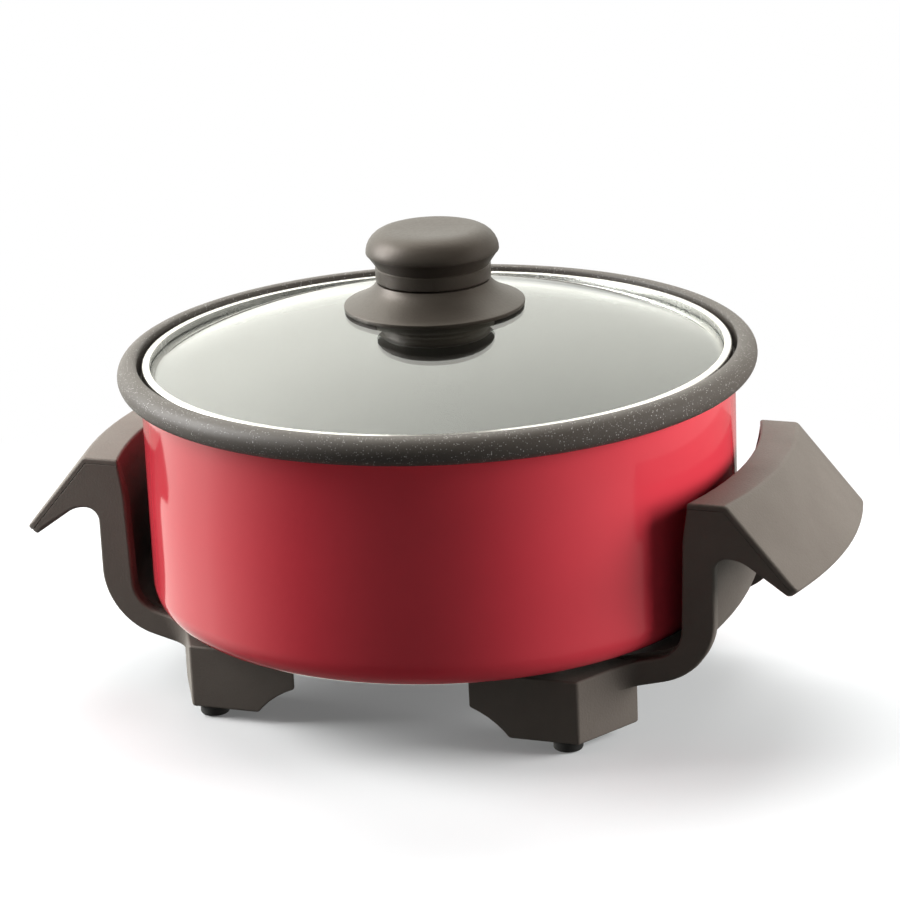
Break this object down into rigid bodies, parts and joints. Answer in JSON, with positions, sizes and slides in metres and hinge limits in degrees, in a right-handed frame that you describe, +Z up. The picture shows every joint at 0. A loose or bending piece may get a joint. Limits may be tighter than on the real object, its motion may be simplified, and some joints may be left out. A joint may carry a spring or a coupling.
{
  "type": "electric skillet",
  "caption": "Round deep electric skillet on moulded legs with side grips, a lift-off domed glass lid with a knob, and a rear socket for a plug-in temperature control.",
  "frame": {"origin": "centre of the bounding box at the underside of the rubber pads", "axes": "+Z up, +X towards the right grip, -Y towards the front; the socket is at +Y"},
  "size_m": [0.3158, 0.24, 0.174],
  "materials": {
    "pan_enamel": "glossy red outside, dark speckled non-stick coat on the rim and inside",
    "handle_plastic": "matt, finely grained",
    "knob_plastic": "satin",
    "rubber": "matt",
    "lid_glass": "clear",
    "lid_band": "polished",
    "cast_aluminium": "bare casting",
    "steel": "satin",
    "brass": "plain",
    "insulator": "unglazed ceramic"
  },
  "bodies": {
    "skillet": {"pan": "pan_enamel", "handle_right": "handle_plastic", "handle_left": "handle_plastic", "grip_cover_right": "handle_plastic", "grip_cover_left": "handle_plastic", "foot_pads": "rubber", "foot_spacers": "insulator", "grip_screws": "steel", "block_screws": "steel", "heater_base": "cast_aluminium", "heating_element": "steel", "element_plate": "steel", "plate_screws": "steel", "terminal_insulators": "insulator", "terminal_pins": "brass", "probe_well": "steel", "plug_guard": "handle_plastic", "guard_screws": "steel"},
    "lid": {"lid_glass": "lid_glass", "lid_band": "lid_band", "vent_eyelet": "lid_band", "knob_grip": "knob_plastic", "knob_skirt": "knob_plastic", "knob_seal": "rubber", "knob_base": "knob_plastic", "base_seal": "rubber", "knob_insert": "brass", "knob_washer": "steel", "knob_screw": "steel"}
  },
  "joints": [
    {"name": "lid_lift", "type": "slide", "parent": "skillet", "child": "lid", "axis": [0, 0, 1], "range_m": [0, 0.15]}
  ]
}
